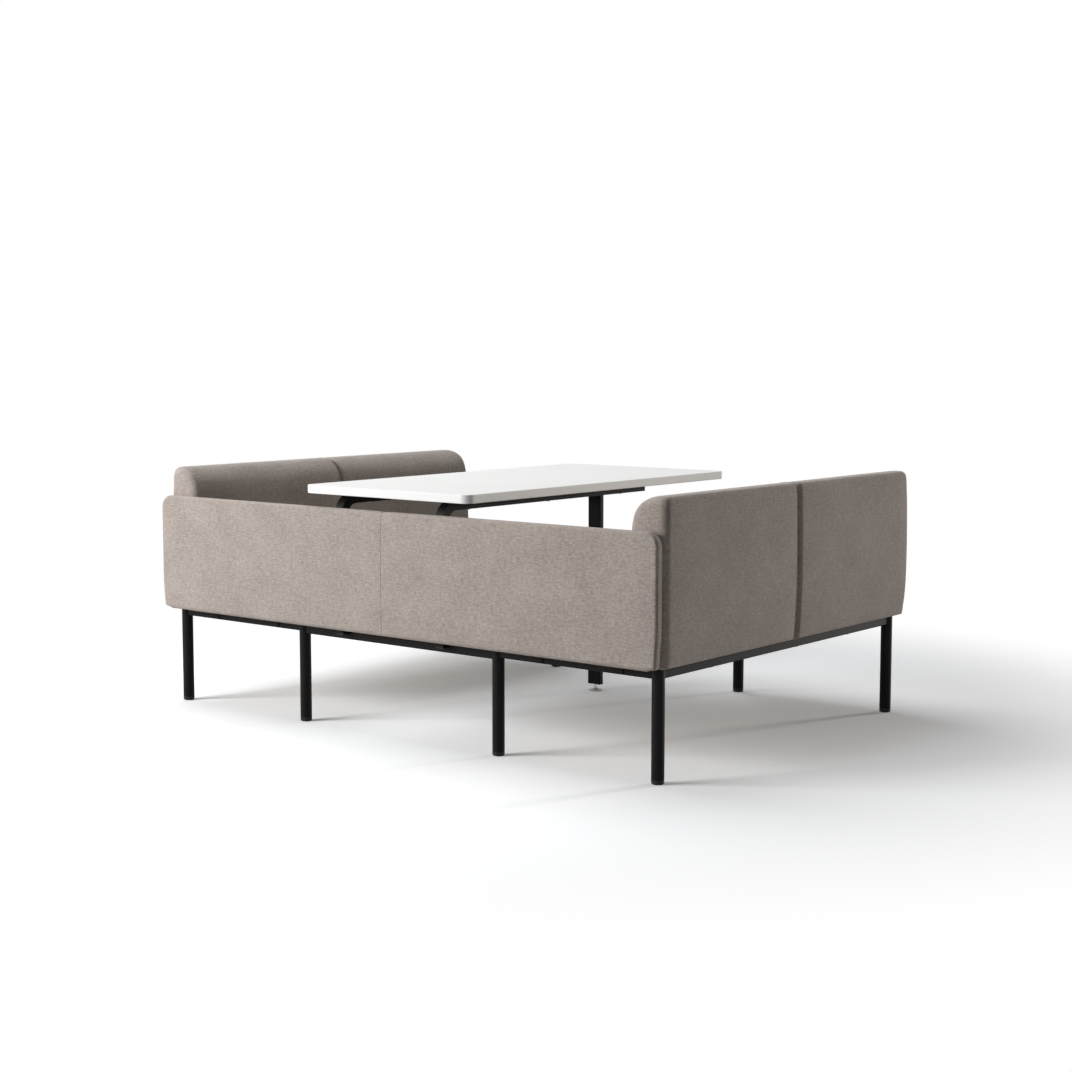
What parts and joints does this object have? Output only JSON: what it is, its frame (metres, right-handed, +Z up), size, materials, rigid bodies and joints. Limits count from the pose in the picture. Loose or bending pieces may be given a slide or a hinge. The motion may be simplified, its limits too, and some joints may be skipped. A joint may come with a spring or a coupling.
{
  "type": "booth seating with attached table",
  "caption": "U-shaped meeting booth: facing upholstered benches, a low upholstered end panel, a black tube underframe and an attached white table with a levelling leg.",
  "frame": {"origin": "on the floor under the middle of the booth", "axes": "+X across the booth from the left bench to the right one, +Y from the closed end to the open end, +Z up"},
  "size_m": [1.94, 1.3691, 0.758],
  "materials": {
    "powder_black": "semi-matt black powder coat",
    "fabric": "woven wool blend, warm grey melange",
    "laminate_white": "white laminate on board",
    "plywood": "plain plywood",
    "zinc_steel": "zinc plated",
    "black_nylon": "moulded, fine grain",
    "pad_plastic": "moulded, pale grey"
  },
  "bodies": {
    "booth": {"arm_bolts": "zinc_steel", "back_uprights": "powder_black", "bracket_screws": "zinc_steel", "deck_screws": "zinc_steel", "end_panel_board": "plywood", "end_panel_cover": "fabric", "left_bearer": "powder_black", "left_deck": "plywood", "left_far_back": "fabric", "left_far_back_board": "plywood", "left_far_rail": "powder_black", "left_far_seat": "fabric", "left_front_rail": "powder_black", "left_near_back": "fabric", "left_near_back_board": "plywood", "left_near_rail": "powder_black", "left_near_seat": "fabric", "left_rear_rail": "powder_black", "leg_inserts": "zinc_steel", "leg_left_front_far": "powder_black", "leg_left_front_near": "powder_black", "leg_left_rear_far": "powder_black", "leg_left_rear_near": "powder_black", "leg_right_front_far": "powder_black", "leg_right_front_near": "powder_black", "leg_right_rear_far": "powder_black", "leg_right_rear_near": "powder_black", "link_rail": "powder_black", "panel_brackets": "powder_black", "right_bearer": "powder_black", "right_deck": "plywood", "right_far_back": "fabric", "right_far_back_board": "plywood", "right_far_rail": "powder_black", "right_far_seat": "fabric", "right_front_rail": "powder_black", "right_near_back": "fabric", "right_near_back_board": "plywood", "right_near_rail": "powder_black", "right_near_seat": "fabric", "right_rear_rail": "powder_black", "table_arm_left": "powder_black", "table_arm_right": "powder_black", "table_crossbar": "powder_black", "table_leg": "powder_black", "table_leg_plug": "black_nylon", "table_screws": "zinc_steel", "tabletop": "laminate_white", "tube_caps": "black_nylon"},
    "foot_left_front_far": {"foot_left_front_far": "black_nylon"},
    "foot_left_front_near": {"foot_left_front_near": "black_nylon"},
    "foot_left_rear_far": {"foot_left_rear_far": "black_nylon"},
    "foot_left_rear_near": {"foot_left_rear_near": "black_nylon"},
    "foot_right_front_far": {"foot_right_front_far": "black_nylon"},
    "foot_right_front_near": {"foot_right_front_near": "black_nylon"},
    "foot_right_rear_far": {"foot_right_rear_far": "black_nylon"},
    "foot_right_rear_near": {"foot_right_rear_near": "black_nylon"},
    "leveller_pad": {"leveller_pad": "pad_plastic"},
    "leveller_stem": {"leveller_stem": "zinc_steel"}
  },
  "joints": [
    {"name": "foot_left_front_far_height", "type": "slide", "parent": "booth", "child": "foot_left_front_far", "axis": [0, 0, -1], "range_m": [0, 0.012]},
    {"name": "foot_left_front_near_height", "type": "slide", "parent": "booth", "child": "foot_left_front_near", "axis": [0, 0, -1], "range_m": [0, 0.012]},
    {"name": "foot_left_rear_far_height", "type": "slide", "parent": "booth", "child": "foot_left_rear_far", "axis": [0, 0, -1], "range_m": [0, 0.012]},
    {"name": "foot_left_rear_near_height", "type": "slide", "parent": "booth", "child": "foot_left_rear_near", "axis": [0, 0, -1], "range_m": [0, 0.012]},
    {"name": "foot_right_front_far_height", "type": "slide", "parent": "booth", "child": "foot_right_front_far", "axis": [0, 0, -1], "range_m": [0, 0.012]},
    {"name": "foot_right_front_near_height", "type": "slide", "parent": "booth", "child": "foot_right_front_near", "axis": [0, 0, -1], "range_m": [0, 0.012]},
    {"name": "foot_right_rear_far_height", "type": "slide", "parent": "booth", "child": "foot_right_rear_far", "axis": [0, 0, -1], "range_m": [0, 0.012]},
    {"name": "foot_right_rear_near_height", "type": "slide", "parent": "booth", "child": "foot_right_rear_near", "axis": [0, 0, -1], "range_m": [0, 0.012]},
    {"name": "leveller_height", "type": "slide", "parent": "booth", "child": "leveller_pad", "axis": [0, 0, 1], "range_m": [-0.01, 0.0075]},
    {"name": "leveller_turn", "type": "hinge", "parent": "leveller_pad", "child": "leveller_stem", "pos_m": [0, 0.3405, 0], "axis": [0, 0, 1], "range_deg": [-2880, 2160]}
  ],
  "couplings": [
    {"joint": "leveller_height", "follows": "leveller_turn", "m_per_rad": 0.00019894}
  ]
}
